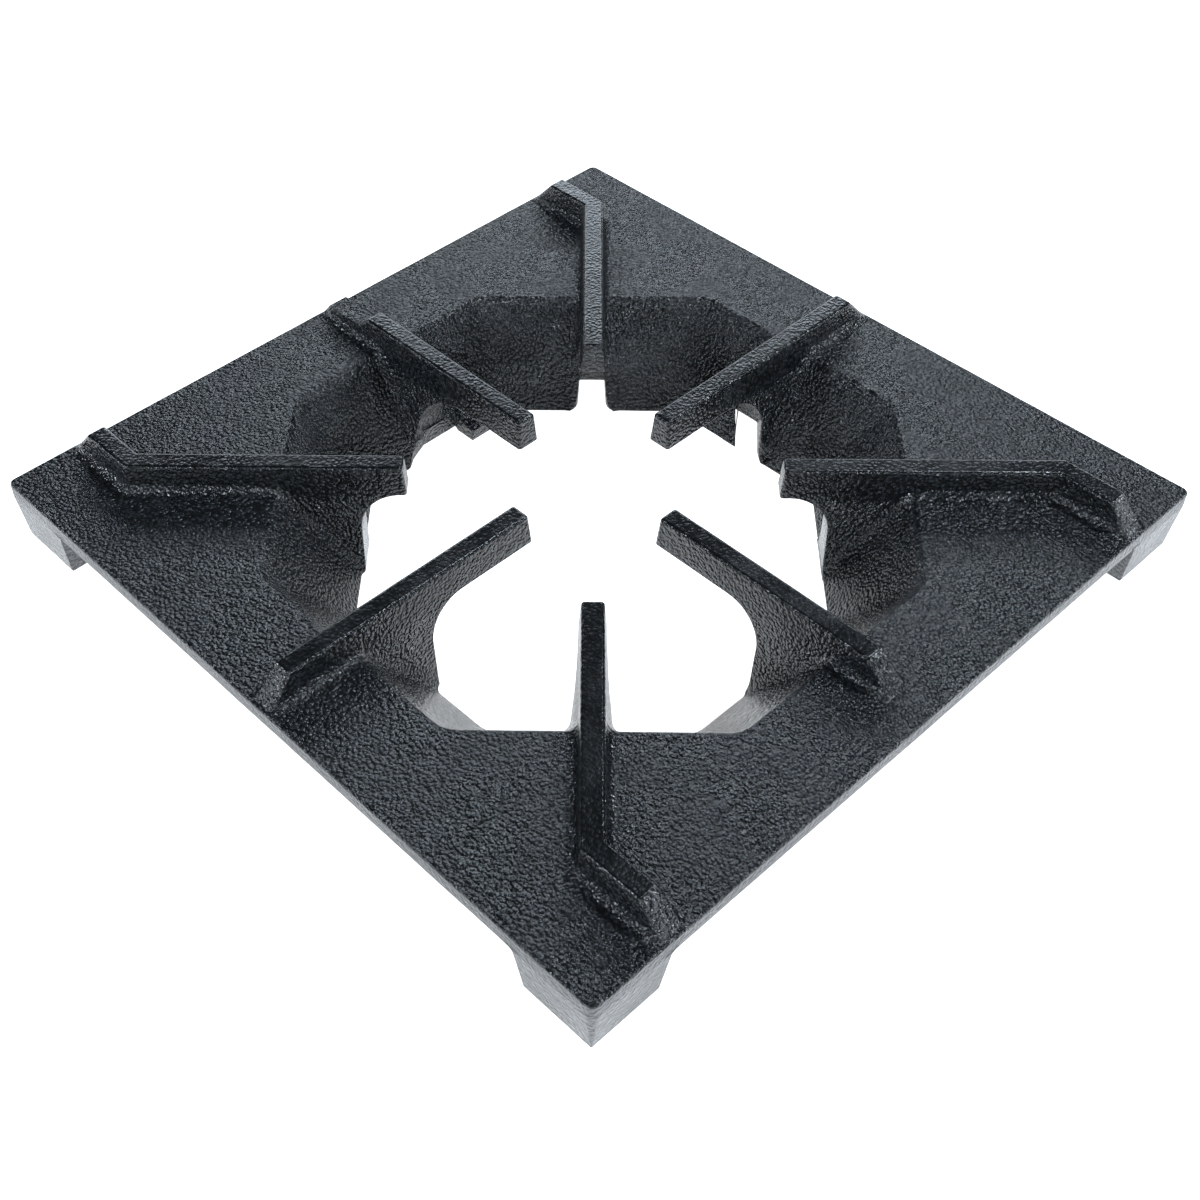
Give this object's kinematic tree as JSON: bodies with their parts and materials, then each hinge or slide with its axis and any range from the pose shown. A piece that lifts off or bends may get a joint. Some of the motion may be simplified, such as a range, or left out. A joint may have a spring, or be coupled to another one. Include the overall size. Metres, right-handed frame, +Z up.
{
  "type": "hob pan support",
  "caption": "Square cast-iron hob pan support with an octagonal burner bowl, drafted ribs over it and corner feet.",
  "frame": {"origin": "middle of the casting in plan, at the height of the bowl's lower rim", "axes": "+Z up out of the rib tops, -Y front edge, +X right edge, all three square to the plate"},
  "size_m": [0.305, 0.305, 0.0478],
  "materials": {
    "casting": "semi-gloss black over sand-cast grain"
  },
  "bodies": {
    "root": {"pan_support": "casting"}
  },
  "joints": []
}
